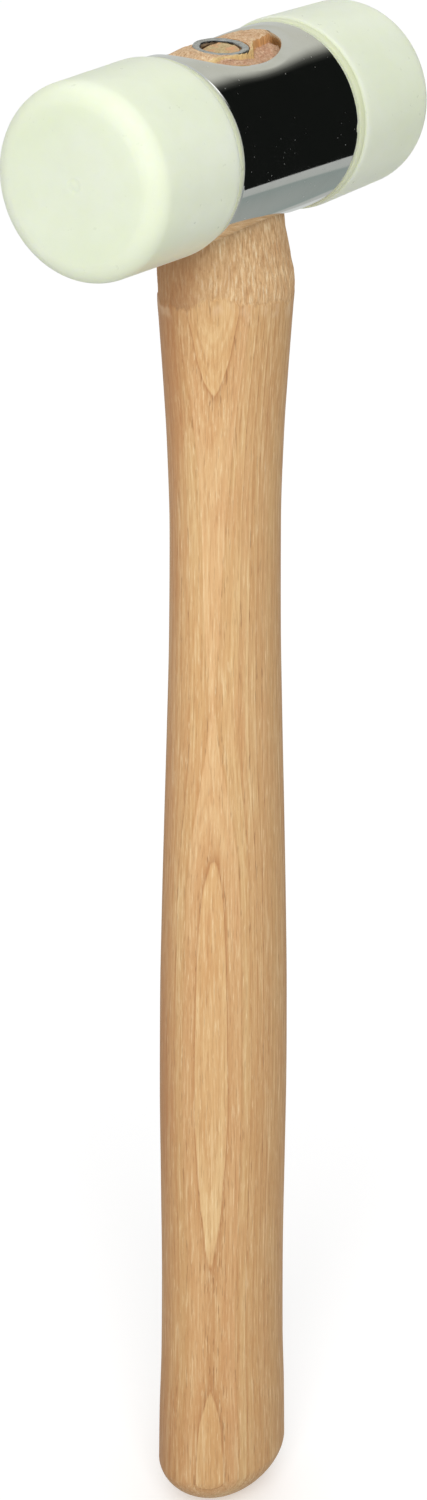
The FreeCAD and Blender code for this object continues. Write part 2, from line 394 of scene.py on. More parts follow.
def make_tube(mat):
    """Tube with an oval eye in both walls, the rims of which are drawn inwards."""
    nth = 576
    R, wall, half = TUBE_R, 2.5, TUBE_HALF
    # rays from the eye's centre to the edge of the half shell, in (x, angle) space
    t = np.linspace(0, 2 * math.pi, nth, endpoint=False)
    ex = EYE_A * np.cos(t)
    ea = np.arcsin(EYE_B * np.sin(t) / R)
    # edge of the half shell: the rectangle |x| = half, |angle| = 90 degrees
    px, pa = np.cos(t) * half, np.sin(t) * math.pi / 2
    k = 1.0 / np.maximum(np.abs(np.cos(t)), np.abs(np.sin(t)))
    bx, ba = px * k, pa * k
    s = np.concatenate([np.linspace(0, 0.22, 18)[:-1], np.linspace(0.22, 0.93, 40)[:-1], np.linspace(0.93, 0.985, 5)[:-1], np.linspace(0.985, 1, 5)])
    X = ex[None] + (bx - ex)[None] * s[:, None]
    A = ea[None] + (ba - ea)[None] * s[:, None]

    def surface(base, inner):
        # distance from the rim along the wall
        d = np.hypot(X - ex[None], base * (A - ea[None]))
        lip = 0.42 * np.clip(1 - d / 2.2, 0, 1) ** 2 + 0.22 * np.clip(1 - d / 5.5, 0, 1) ** 2
        r = base - lip * (0.9 if inner else 1.0)
        edge = np.clip(0.25 - (half - np.abs(X)), 0, 0.25)
        r = r + (edge if inner else -edge)
        return r

    ro, ri = surface(R, False), surface(R - wall, True)
    rows_o = [np.stack([X[i], ro[i] * np.sin(A[i]), ro[i] * np.cos(A[i])], -1) for i in range(len(s))]
    rows_i = [np.stack([X[i], ri[i] * np.sin(A[i]), ri[i] * np.cos(A[i])], -1) for i in range(len(s))]
    # rounded rim between the two skins
    rim = []
    m = 9
    for q in range(1, m):
        w = q / m
        bulge = 0.30 * (math.sin(math.pi * w) - 0.0)
        r = ro[0] * (1 - w) + ri[0] * w
        sx, sy = 1 - bulge / EYE_A, 1 - bulge / EYE_B
        rim.append(np.stack([ex * sx, r * np.sin(ea * sy), r * np.cos(ea * sy)], -1))
    rows = rows_i[::-1] + rim[::-1] + rows_o
    verts, faces = [], []
    for sign in (1, -1):
        base = len(verts) and sum(len(a) for a in verts)
        off = base or 0
        for row in rows:
            p = row.copy()
            if sign < 0:
                p[:, 2] *= -1
            verts.append(p)
        faces += grid_faces(len(rows), nth, True, off, flip=sign > 0)
    v = np.concatenate(verts)
    # flat annulus at each end and the seams: weld by position afterwards
    ob = new_object("head_tube_shell", v + [0, 0, HZ], faces)
    import bmesh
    bm = bmesh.new()
    bm.from_mesh(ob.data)
    bmesh.ops.remove_doubles(bm, verts=bm.verts, dist=1e-6)
    # close the ends: each is a pair of loops, outer and inner
    for sgn in (1, -1):
        edges = [e for e in bm.edges if e.is_boundary and all(abs(w.co.x * 1000 - sgn * half) < 1e-3 for w in e.verts)]
        bmesh.ops.bridge_loops(bm, edges=edges)
    bmesh.ops.recalc_face_normals(bm, faces=bm.faces)
    bm.to_mesh(ob.data)
    bm.free()
    ob.data.polygons.foreach_set("use_smooth", [True] * len(ob.data.polygons))
    ob.data.set_sharp_from_angle(angle=math.radians(38))
    ob.data.materials.append(mat)
    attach(ob, "hammer")
    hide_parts("head_tube")
    return ob


def chrome_material():
    n = Nodes("chrome")
    b = n.bsdf
    v = n.mapping((1000, 1000, 1000))
    b.inputs["Metallic"].default_value = 1.0
    # tiny specks and pits in the plating
    sp = n.voronoi(v, 0.62, "F1", 1.0)
    speck = n.remap(sp, 0.050, 0.095, 1.0, 0.0)
    gate = n.remap(n.noise(v, 0.16, 2, 0.5), 0.42, 0.52, 0.0, 1.0)
    speck = n.math("MULTIPLY", speck, gate)
    # short fine scratches in two directions
    v1 = n.mapping((420, 2600, 2600), rot=(0.35, 0.2, 0.5))
    v2 = n.mapping((2400, 500, 2400), rot=(-0.6, 0.3, 0.2))
    s1 = n.remap(n.noise(v1, 1.0, 2, 0.5), 0.72, 0.78, 0, 1)
    s2 = n.remap(n.noise(v2, 1.0, 2, 0.5), 0.73, 0.79, 0, 1)
    scr = n.math("MAXIMUM", s1, s2)
    haze = n.remap(n.noise(v, 0.12, 5, 0.6), 0.42, 0.75, 0.0, 1.0)
    r = n.math("ADD", 0.035, n.math("MULTIPLY", haze, 0.05))
    r = n.math("ADD", r, n.math("MULTIPLY", scr, 0.10))
    r = n.math("ADD", r, n.math("MULTIPLY", speck, 0.55), clamp=True)
    n.link(r, b.inputs["Roughness"])
    col = n.mix(haze, srgb(231, 232, 232), srgb(224, 225, 224))
    col = n.mix(speck, col, srgb(240, 240, 238))
    n.link(col, b.inputs["Base Color"])
    h = n.math("SUBTRACT", n.math("MULTIPLY", n.noise(v, 0.25, 2, 0.5), 0.8), n.math("MULTIPLY", n.math("MAXIMUM", speck, scr), 0.25))
    n.link(n.bump(h, 0.00001, 0.35), b.inputs["Normal"])
    return n.mat


# ---------------------------------------------------------------- handle
HDX, HDY, OVAL = 1.4, -0.26, 0.708
DOME_H, DOME_P, BUTT_A = 10.56, 1.72, 16.53
ST = [  # height below the head's axis, half depth, half width, shift in x, shift in y
    (-281.64, 16.53, 16.53 * OVAL, HDX, HDY), (-270, 16.32, 16.32 * OVAL, HDX, HDY), (-255, 15.78, 15.78 * OVAL, HDX, HDY),
    (-235, 15.60, 15.60 * OVAL, HDX, HDY), (-215, 15.80, 15.80 * OVAL, HDX, HDY), (-195, 16.02, 16.02 * OVAL, HDX, HDY),
    (-175, 15.85, 15.85 * OVAL, HDX, HDY), (-155, 15.35, 15.35 * OVAL, HDX, HDY), (-135, 14.68, 14.68 * OVAL, HDX, HDY),
    (-115, 13.96, 13.96 * OVAL, HDX, HDY), (-95, 13.38, 13.38 * OVAL, HDX, HDY), (-75, 13.20, 13.20 * OVAL, HDX, HDY),
    (-58, 13.75, 13.75 * OVAL, HDX, HDY), (-46, 14.55, 14.55 * OVAL, HDX, HDY), (-38, 15.20, 15.20 * OVAL, HDX, HDY),
    (-33, 15.62, 15.62 * OVAL, HDX, HDY), (-29.5, 15.92, 11.26, 1.40, -0.26), (-27.0, 15.92, 11.20, 1.30, -0.24),
    (-24.0, 15.70, 10.85, 0.85, -0.16), (-20.0, 15.30, 10.40, 0.35, -0.06), (-16.0, 14.95, 9.95, 0.05, 0.0),
    (-12.0, 14.30, 9.15, 0.0, 0.0),
]
WX, WY = -1.6, -0.8          # ring wedge's centre
W_TOP, W_RO, W_RI = 16.75, 5.24, 3.72


def section(z):
    """Half depth, half width and centre of the handle at height z below the head's axis."""
    zs = [s[0] for s in ST]
    return [pchip(zs, [s[i] for s in ST], z) for i in (1, 2, 3, 4)]


RASP = [(0, -28.6), (30, -29.4), (60, -30.4), (90, -30.0), (120, -28.6), (150, -28.9), (175, -29.6), (191, -29.0), (205, -27.8), (214, -27.6), (224, -27.6),
        (234, -28.3), (247, -29.5), (259, -30.2), (273, -30.2), (290, -31.0), (310, -30.6), (332, -29.4), (360, -28.6)]


def rasp_edge(th):
    """Lower limit of the rasped shoulder, mm below the head's axis, round the handle: an uneven row of scallops."""
    a = np.mod(th, 2 * math.pi)
    base = np.interp(np.degrees(a), [k[0] for k in RASP], [k[1] for k in RASP])
    sc = 0.85 * np.abs(np.sin(a * 4.5 + 0.7 * np.sin(a * 2 + 1.0) + 0.35)) ** 0.8 - 0.4
    n = noise3(np.stack([13 * np.cos(a), 13 * np.sin(a), np.zeros_like(a)], -1), 1.3, 41)
    return base + sc + 0.35 * n


CHIP = [(-30, -0.5), (-14.6, -1.2), (-13.2, -2.7), (-11.7, -4.25), (-10.5, -5.2), (-8.9, -5.1), (-7.6, -5.05), (-6.9, -4.95), (-5.2, -5.65), (-3.1, -6.1),
        (-1.2, -6.15), (0.6, -6.0), (2.2, -5.3), (3.7, -4.2), (5.0, -3.5), (6.2, -3.3), (8.7, -3.05), (11.9, -2.25), (14.2, -1.7), (30, -1.0)]
RING_SX, RING_SY, RING_Z = 0.055, 0.090, 16.72     # the ring wedge went in at a slight tilt


def ring_plane(x, y):
    return RING_Z + RING_SX * (x - WX) + RING_SY * (y - WY)


def chip_line(x, y):
    """Distance in front of (below 0) or behind the broken line across the end grain."""
    p = np.stack([x, y, np.zeros_like(x)], -1)
    edge = np.interp(x, [c[0] for c in CHIP], [c[1] for c in CHIP])
    return y - edge - 0.22 * noise3(p, (0.9, 5, 5), 11) - 0.10 * noise3(p, (0.35, 5, 5), 12)


def end_height(x, y):
    """Height of the end grain above the head's axis: dressed to the tube's curve, one side split off lower, all of it torn."""
    p = np.stack([x, y, np.zeros_like(x)], -1)
    crown = np.sqrt(np.maximum(17.08**2 - y**2, 1.0))
    d = chip_line(x, y)
    low = 1 - smoothstep(-0.20, 0.12, d)
    drop = 1.55 + 0.25 * noise3(p, (4, 2.5, 5), 13)
    # the split is shallow at the left, deep at the right
    drop = drop * np.interp(x, [-14, -11, -6, -1, 2, 14], [0.10, 0.25, 0.35, 0.62, 0.95, 1.05])
    h = crown - low * drop
    # the left end, behind, was left short
    h = h - 1.5 * smoothstep(-8.2, -11.5, x) * smoothstep(-2.2, 0.9, y)
    h = h - 0.45 * smoothstep(-3.0, -8.0, x) * smoothstep(0.5, 3.5, y)
    h = h - 0.8 * smoothstep(-9.5, -13.0, x)
    # torn hollow at the far right end of the eye
    h = h - 1.1 * np.exp(-(((x - 13.7) / 0.8) ** 2 + ((y + 2.6) / 0.9) ** 2))
    # fibres broken off at different heights: layers and fine tear
    rough = 0.55 + 0.45 * low
    h = h + rough * (0.16 * noise3(p, (2.4, 0.75, 5), 14) + 0.13 * noise3(p, (0.8, 0.45, 5), 15) + 0.08 * noise3(p, 0.28, 16))
    # the wood meets the ring wedge's rim
    r = np.hypot(x - WX, y - WY)
    near = smoothstep(3.2, 0.2, r - W_RO)
    h = h * (1 - near) + near * np.minimum(h, ring_plane(x, y) - 0.06 + 0.06 * noise3(p, 0.4, 17))
    # and drops a little below the eye's rolled rim all round
    e = 1 - np.hypot(x / EYE_A, y / EYE_B)
    back = smoothstep(-2.5, 0.5, y) * smoothstep(-4, 4, x)
    h = h - (0.50 - 0.42 * back) * smoothstep(0.16, 0.0, e) - (0.25 - 0.15 * back) * smoothstep(0.03, 0.0, e)
    return h


def make_handle(mat):
    nth = 360
    th = np.linspace(0, 2 * math.pi, nth, endpoint=False)
    rows = []
    # domed butt, from a small flat outwards
    for q in np.linspace(0.0, 1.0, 40)[1:-1]:
        t = math.sin(q * math.pi / 2)
        drop = DOME_H * (1 - t**DOME_P) ** (1 / DOME_P)
        z = -HZ + max(DOME_H - drop, 0.0)
        z = -HZ + (DOME_H - drop)
        rows.append(np.stack([HDX + BUTT_A * t * np.cos(th), HDY + BUTT_A * OVAL * t * np.sin(th), np.full(nth, z)], -1))
    zs = np.concatenate([np.arange(-281.64, -36, 1.1), np.arange(-36, -12.6, 0.22), np.array([-12.4])])
    a, b, dx, dy = section(zs)
    for i, z in enumerate(zs):
        rows.append(np.stack([dx[i] + a[i] * np.cos(th), dy[i] + b[i] * np.sin(th), np.full(nth, z)], -1))
    n_grip = len(rows)
    # tenon inside the eye
    for z in (-11.5, -6, 0, 6, 10, 12.0):
        rows.append(np.stack([14.3 * np.cos(th), 9.15 * np.sin(th), np.full(nth, z)], -1))
    # end grain: from the tenon's edge in to the ring wedge's seat
    ox, oy = 14.3 * np.cos(th), 9.15 * np.sin(th)
    cxr, cyr = WX + W_RO * np.cos(th), WY + W_RO * np.sin(th)
    for k, s in enumerate(np.concatenate([np.linspace(0, 0.12, 14)[:-1], np.linspace(0.12, 1, 78)])):
        x, y = ox + (cxr - ox) * s, oy + (cyr - oy) * s
        h = end_height(x, y)
        if k == 0:
            h = h - 0.18
        rows.append(np.stack([x, y, h], -1))
    n_outer = len(rows)
    # the wedge's seat
    for r, z in ((W_RO - 0.01, 12.0), (W_RI + 0.55, 11.6), (W_RI + 0.01, 13.0)):
        rows.append(np.stack([WX + r * np.cos(th), WY + r * np.sin(th), np.full(nth, z)], -1))
    # the plug of wood inside the ring
    for r in np.linspace(W_RI - 0.02, 0.12, 30):
        x, y = WX + r * np.cos(th), WY + r * np.sin(th)
        q3 = np.stack([x, y, np.zeros_like(x)], -1)
        h = ring_plane(x, y) - 0.50 - 0.55 * smoothstep(0.6, 3.2, (y - WY) * 0.8 - (x - WX) * 0.35)
        h = h + 0.14 * noise3(q3, (1.6, 0.8, 5), 31) + 0.09 * noise3(q3, 0.35, 32)
        if r > W_RI - 0.3:
            h = h - 0.40
        rows.append(np.stack([x, y, h], -1))
    # rasp cuts on the shoulder and light unevenness along the grip
    body = np.concatenate(rows[:n_grip])
    zz = body[:, 2]
    ang = np.arctan2((body[:, 1] - HDY) / OVAL, body[:, 0] - HDX)
    edge = rasp_edge(ang)
    m = smoothstep(-0.25, 0.35, zz - edge)
    nrm = np.stack([np.cos(ang) * OVAL, np.sin(ang), np.zeros_like(ang)], -1)
    nrm /= np.linalg.norm(nrm, axis=1)[:, None]
    # coordinates that run round and along the handle, mm
    arc_mm = ang * 13.2
    q = np.stack([arc_mm, np.zeros_like(zz), zz], -1)
    tilt = np.stack([arc_mm + 0.22 * zz, np.zeros_like(zz), zz], -1)
    cut = 0.11 * noise3(tilt, (0.62, 1, 3.2), 21) + 0.07 * noise3(q, (0.42, 1, 1.6), 22) + 0.10 * noise3(q, (3.2, 1, 3.6), 23)
    scoop = -0.10 * (1 - smoothstep(0.0, 2.6, zz - edge)) * m
    smooth_part = 0.05 * noise3(body, (14, 14, 45), 24)
    d = m * (cut - 0.10 + scoop) + (1 - m) * smooth_part
    # keep inside the handle's solid
    d = np.minimum(d, 0.0 + 0.0 * d) - 0.01
    fade = smoothstep(-HZ, -HZ + 6, zz)
    body = body + nrm * (d * fade)[:, None]
    allv = np.concatenate([body] + rows[n_grip:])
    v = allv.copy()
    faces = grid_faces(len(rows), nth, True, 0)
    # caps: the butt's small flat and the middle of the plug
    n = len(v)
    v = np.vstack([v, [[HDX, HDY, -HZ]], [[WX, WY, rows[-1][:, 2].mean()]]])
    for j in range(nth):
        k = (j + 1) % nth
        faces.append((n, k, j))
        last = (len(rows) - 1) * nth
        faces.append((n + 1, last + j, last + k))
    # masks for the wood's material, one value a vertex
    zz, xx, yy = v[:, 2], v[:, 0], v[:, 1]
    ang = np.arctan2((yy - HDY) / OVAL, xx - HDX)
    q = np.stack([ang * 13.2, zz * 0, zz], -1)
    over = zz - rasp_edge(ang) + 0.55 * noise3(q, (0.7, 1, 1.5), 42) + 0.35 * noise3(q, (0.35, 1, 0.7), 43)
    top = (zz > 10.0) & (np.arange(len(v)) >= n_grip * nth)
    rasp = smoothstep(-0.45, 0.75, over) * ~top
    cl = chip_line(xx, yy)
    rr = np.hypot(xx - WX, yy - WY)
    low = (1 - smoothstep(-0.15, 0.10, cl)) * top * (rr > W_RI)
    lipm = smoothstep(-0.30, -0.05, cl) * (1 - smoothstep(0.15, 0.75, cl)) * top * smoothstep(6.5, 2.0, xx) * (rr > W_RO - 0.2)
    plug = ((rr < W_RI + 0.02) & top) * 1.0
    v[:, 2] += HZ
    ob = new_object("handle_wood", v, faces, sharp=50)
    blunt = smoothstep(-3.4, -0.9, over + 0.9 * noise3(q, (2.2, 1, 2.2), 44)) * (1 - smoothstep(-0.7, 0.1, over)) * ~top
    for nm, val in (("rasp", rasp), ("blunt", blunt), ("endgrain", top * 1.0), ("low", low), ("lip", lipm), ("plug", plug)):
        at = ob.data.attributes.new(nm, "FLOAT", "POINT")
        at.data.foreach_set("value", np.asarray(val, np.float32))
    ob.data.materials.append(mat)
    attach(ob, "hammer")
    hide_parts("handle")
    return ob


def wood_material():
    n = Nodes("hickory")
    b = n.bsdf
    M, A = n.math, "ADD"

    def attr(name):
        k = n.t.nodes.new("ShaderNodeAttribute")
        k.attribute_name = name
        return k.outputs["Fac"]
    b.inputs["Specular IOR Level"].default_value = 0.30
    rasped, endg, low, lip, plug = (attr(k) for k in ("rasp", "endgrain", "low", "lip", "plug"))
    mm = n.mapping((1000, 1000, 1000), loc=(-HDX, -HDY, -HZ))      # mm from the head's axis
    x, y, z = n.sep(mm)
    # growth layers: nearly flat sheets that face the front left, a little off the handle's length
    slow = n.noise(n.mapping((60, 60, 6)), 1.0, 2, 0.5)
    wav = n.noise(n.mapping((260, 260, 22)), 1.0, 3, 0.55)
    s = M(A, M("MULTIPLY", x, -0.755), M("MULTIPLY", y, -0.655))
    across = M(A, M("MULTIPLY", x, 0.655), M("MULTIPLY", y, -0.755))
    ac = M(A, across, 4.2)
    s = M(A, s, M("MULTIPLY", M("MULTIPLY", ac, ac), -0.012))
    s = M(A, s, M("MULTIPLY", z, 0.0068))
    # how the layers rise and fall along the grip, which sets where their tongues end
    lie = [(-45, -0.25), (-50, -0.23), (-55, -0.14), (-60, -0.05), (-65, 0.06), (-75, 0.15), (-85, 0.04), (-95, -0.12), (-104, -0.35), (-109, -0.47), (-115, -0.54), (-120, -0.52),
           (-125, -0.42), (-130, -0.24), (-135, -0.03), (-140, 0.18), (-145, 0.25), (-150, 0.255), (-160, 0.21), (-170, 0.18)]
    s = M(A, s, M("SUBTRACT", n.ramp(n.remap(z, -170, -45, 0, 1), [((q + 170) / 125.0, w + 0.6) for q, w in reversed(lie)]), 0.6))
    s = M(A, s, M("MULTIPLY", M("SUBTRACT", slow, 0.5), 0.55))
    s = M(A, s, M("MULTIPLY", M("SUBTRACT", wav, 0.5), 0.34))
    ring = M(A, M("DIVIDE", M("SUBTRACT", s, 12.38), 1.42), 40.0)
    fr = M("FRACT", ring)
    # each layer darkens outwards and stops at a sharp line
    dark = n.ramp(fr, [(0.0, 0.55), (0.02, 0.02), (0.20, 0.10), (0.31, 0.42), (0.36, 0.14), (0.60, 0.22), (0.80, 0.50), (0.93, 0.85), (0.985, 1.0), (1.0, 0.60)])
    lay = n.noise(n.comb(M("MULTIPLY", M("FLOOR", ring), 7.31), 0.5, 0.5), 1.0, 0, 0.5)
    dark = M("MULTIPLY", dark, n.remap(lay, 0.32, 0.68, 0.55, 1.0))
    # fine lines that follow the layers, then fibres and pores
    line = n.noise(n.comb(M("MULTIPLY", s, 1.9), M("MULTIPLY", across, 0.10), M("MULTIPLY", z, 0.016)), 1.0, 4, 0.62)
    fib = n.noise(n.mapping((2300, 2300, 70)), 1.0, 3, 0.6)
    fib2 = n.noise(n.mapping((3600, 3600, 210)), 1.0, 3, 0.65)
    streak = n.noise(n.mapping((420, 420, 7)), 1.0, 2, 0.5)
    blot = n.noise(n.mapping((190, 190, 40)), 1.0, 3, 0.6)
    pore = n.remap(n.noise(n.mapping((3300, 3300, 230)), 1.0, 1, 0.5), 0.62, 0.70, 0, 1)
    pore = M("MULTIPLY", pore, n.remap(dark, 0.1, 0.8, 0.35, 1.0))
    # colours
    base = n.mix(n.remap(line, 0.36, 0.62, 0, 1), srgb(240, 208, 154), srgb(220, 174, 119))
    base = n.mix(n.remap(lay, 0.42, 0.60, 0, 0.50), base, srgb(232, 185, 137))
    base = n.mix(n.remap(streak, 0.42, 0.64, 0, 0.40), base, srgb(226, 184, 130))
    base = n.mix(n.remap(blot, 0.50, 0.70, 0, 0.45), base, srgb(217, 160, 112))
    # painted shade: the grip's right side, turned away from the key light, is coloured darker
    base = n.mix(n.remap(across, 0.5, 9.0, 0, 0.50), base, srgb(200, 156, 102))
    base = n.mix(n.remap(z, -140, -190, 0, 0.20), base, srgb(196, 142, 88))
    # painted shade: the grip's left side is coloured darker
    base = n.mix(n.remap(across, -5.5, -10.0, 0, 0.26), base, srgb(176, 122, 76))
    base = n.mix(M("MULTIPLY", dark, n.remap(across, -1.5, 4.5, 0.68, 0.96)), base, srgb(196, 143, 92))
    base = n.mix(M("MULTIPLY", n.remap(dark, 0.72, 1.0, 0, 1), 0.36), base, srgb(172, 114, 70))
    base = n.mix(n.remap(fib, 0.53, 0.72, 0.0, 0.42), base, srgb(188, 134, 86))
    base = n.mix(n.remap(fib, 0.46, 0.30, 0.0, 0.42), base, srgb(250, 224, 176))
    base = n.mix(n.remap(fib2, 0.44, 0.28, 0.0, 0.55), base, srgb(252, 228, 182))
    base = n.mix(n.remap(fib2, 0.56, 0.72, 0.0, 0.40), base, srgb(186, 134, 88))
    base = n.mix(M("MULTIPLY", pore, 0.55), base, srgb(146, 98, 60))
    # a dark reddish streak down the left side, widest at the neck: partly heartwood colour, partly painted shade under
    # the near nylon face
    sk = M(A, across, M("MULTIPLY", M("SUBTRACT", n.noise(n.mapping((300, 300, 14)), 1.0, 3, 0.6), 0.5), 5.0))
    sk = M(A, sk, n.remap(z, -150, -90, 2.2, 0.0))
    heart_and_shade = n.remap(sk, -9.0, -11.8, 0.0, 1.0)
    base = n.mix(M("MULTIPLY", heart_and_shade, 0.56), base, srgb(178, 116, 70))
    # rasped shoulder: darker, with pale torn fibres
    rn = n.noise(n.mapping((2100, 2100, 330), rot=(0.0, 0.10, 0.0)), 1.0, 4, 0.7)
    rn2 = n.noise(n.mapping((330, 330, 190)), 1.0, 3, 0.6)
    rn3 = n.noise(n.mapping((900, 900, 700)), 1.0, 3, 0.7)
    rc = n.ramp(rn, [(0.26, srgb(162, 117, 76)), (0.40, srgb(211, 167, 120)), (0.52, srgb(230, 192, 144)), (0.60, srgb(244, 213, 168)), (0.70, srgb(252, 234, 200))])
    rc = n.mix(n.remap(rn2, 0.46, 0.70, 0.0, 0.42), rc, srgb(198, 150, 106))
    rc = n.mix(n.remap(rn3, 0.53, 0.70, 0.0, 0.30), rc, srgb(176, 126, 84))
    # painted shade: the rasped shoulder is coloured darker down its left side, under the near nylon face
    rc = n.mix(n.remap(M(A, across, M("MULTIPLY", M("SUBTRACT", rn2, 0.5), 7.0)), -4.0, -9.5, 0.0, 0.62), rc, srgb(170, 114, 74))
    col = n.mix(M("MULTIPLY", rasped, 0.88), base, rc)
    # blunt pale facets where the last strokes ran out
    col = n.mix(M("MULTIPLY", M("MULTIPLY", attr("blunt"), n.remap(rn2, 0.56, 0.40, 0.0, 1.0)), 0.34), col, srgb(244, 216, 178))
    # end grain on top of the tenon
    eg = n.noise(n.mapping((1500, 2300, 600)), 1.0, 4, 0.7)
    eg2 = n.noise(n.mapping((330, 420, 200)), 1.0, 3, 0.6)
    up = n.ramp(eg, [(0.28, srgb(156, 112, 80)), (0.42, srgb(206, 166, 126)), (0.56, srgb(233, 203, 164)), (0.72, srgb(250, 234, 206))])
    up = n.mix(n.remap(eg2, 0.46, 0.64, 0.0, 0.42), up, srgb(204, 156, 118))
    dn = n.ramp(eg, [(0.28, srgb(134, 94, 70)), (0.42, srgb(188, 146, 116)), (0.56, srgb(214, 178, 146)), (0.72, srgb(240, 216, 188))])
    dn = n.mix(n.remap(eg2, 0.46, 0.64, 0.0, 0.46), dn, srgb(192, 142, 114))
    dn = n.mix(n.remap(eg2, 0.46, 0.34, 0.0, 0.35), dn, srgb(214, 176, 128))
    ec = n.mix(low, up, dn)
    pl = n.mix(n.remap(eg2, 0.46, 0.60, 0.0, 0.8), n.ramp(eg, [(0.3, srgb(176, 150, 104)), (0.6, srgb(212, 190, 146)), (0.8, srgb(236, 220, 184))]), srgb(222, 168, 128))
    ec = n.mix(plug, ec, pl)
    # the split face itself is clean orange wood, and its rim catches the light
    geo = n.t.nodes.new("ShaderNodeNewGeometry")
    nx, ny, nz = n.sep(geo.outputs["True Normal"])
    steep = M("MULTIPLY", n.remap(nz, 0.60, 0.25, 0, 1), endg)
    ec = n.mix(M("MULTIPLY", steep, 0.75), ec, srgb(212, 150, 84))
    ec = n.mix(M("MULTIPLY", lip, 0.65), ec, srgb(230, 204, 142))
    # the end grain's colours go on the tenon's top
    col = n.mix(endg, col, ec)
    n.link(col, b.inputs["Base Color"])
    b.inputs["IOR"].default_value = 1.48
    rough = n.remap(fib, 0.3, 0.7, 0.44, 0.58)
    rough = M(A, rough, M("MULTIPLY", M("MAXIMUM", rasped, endg), 0.32), clamp=True)
    n.link(rough, b.inputs["Roughness"])
    # relief: open fibres on the grip, deep tear where it is rasped
    h = M(A, M("MULTIPLY", fib, 0.5), M("MULTIPLY", fib2, 0.35))
    h = M("SUBTRACT", h, M("MULTIPLY", pore, 0.8))
    h = M("SUBTRACT", h, M("MULTIPLY", dark, 0.15))
    n1 = n.bump(h, 0.00006, 0.65)
    hr = M("MULTIPLY", M(A, rn, M("MULTIPLY", rn3, 0.5)), M("MAXIMUM", rasped, endg))
    n2 = n.bump(hr, 0.00030, 0.9, n1)
    n.link(n2, b.inputs["Normal"])
    return n.mat


# ---------------------------------------------------------------- ring wedge
def make_wedge(mat):
    seg = 224
    th = np.linspace(0, 2 * math.pi, seg, endpoint=False)
    prof = [  # (radius, depth below the rim) outer skin upwards, over the rim, then the bore downwards
        (4.85, 12.0), (4.90, 9.0), (5.00, 4.0), (5.10, 1.0), (5.13, 0.42), (5.12, 0.20), (5.04, 0.06),
        (4.88, 0.0), (4.55, 0.02), (4.20, 0.05), (3.98, 0.07), (3.84, 0.17), (3.77, 0.36), (3.76, 1.2), (3.90, 4.0), (4.25, 8.0), (4.62, 12.0),
    ]
    c, si = np.cos(th), np.sin(th)
    rows = []
    for r, dep in prof:
        k = max(0.0, 1 - dep / 5.0)
        rr = r + k * (0.05 * np.sin(3 * th + 0.7) + 0.025 * np.sin(7 * th + 2.0)) * (1 if r > 4 else 1.6)
        x, y = WX + rr * c, WY + rr * si
        z = ring_plane(x, y) * 1.0
        z = z * k + (RING_Z) * (1 - k) - dep
        # hammered rim, a little uneven
        z = z - k * (0.05 * (0.5 + 0.5 * np.sin(2 * th + 1.2)) + 0.035 * (0.5 + 0.5 * np.sin(11 * th + 0.4)))
        rows.append(np.stack([x, y, z + HZ], -1))
    v = np.concatenate(rows)
    faces = grid_faces(len(prof), seg, True, 0)
    last = (len(prof) - 1) * seg
    for j in range(seg):
        k = (j + 1) % seg
        faces.append((last + j, last + k, k, j))
    ob = new_object("ring_wedge_steel", v, faces, sharp=40)
    ob.data.materials.append(mat)
    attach(ob, "hammer")
    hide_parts("ring_wedge")
    return ob


def wedge_material():
    n = Nodes("wedge_steel")
    b = n.bsdf
    v = n.mapping((1000, 1000, 1000))
    b.inputs["Metallic"].default_value = 1.0
    r = n.remap(n.noise(v, 1.8, 5, 0.6), 0.35, 0.7, 0.22, 0.42)
    n.link(r, b.inputs["Roughness"])
    c = n.ramp(n.noise(v, 0.9, 5, 0.65), [(0.35, srgb(168, 170, 173)), (0.55, srgb(196, 198, 200)), (0.72, srgb(222, 222, 221))])
    n.link(c, b.inputs["Base Color"])
    h = n.noise(n.mapping((2600, 2600, 900)), 1.0, 3, 0.6)
    n.link(n.bump(h, 0.00004, 0.6), b.inputs["Normal"])
    return n.mat


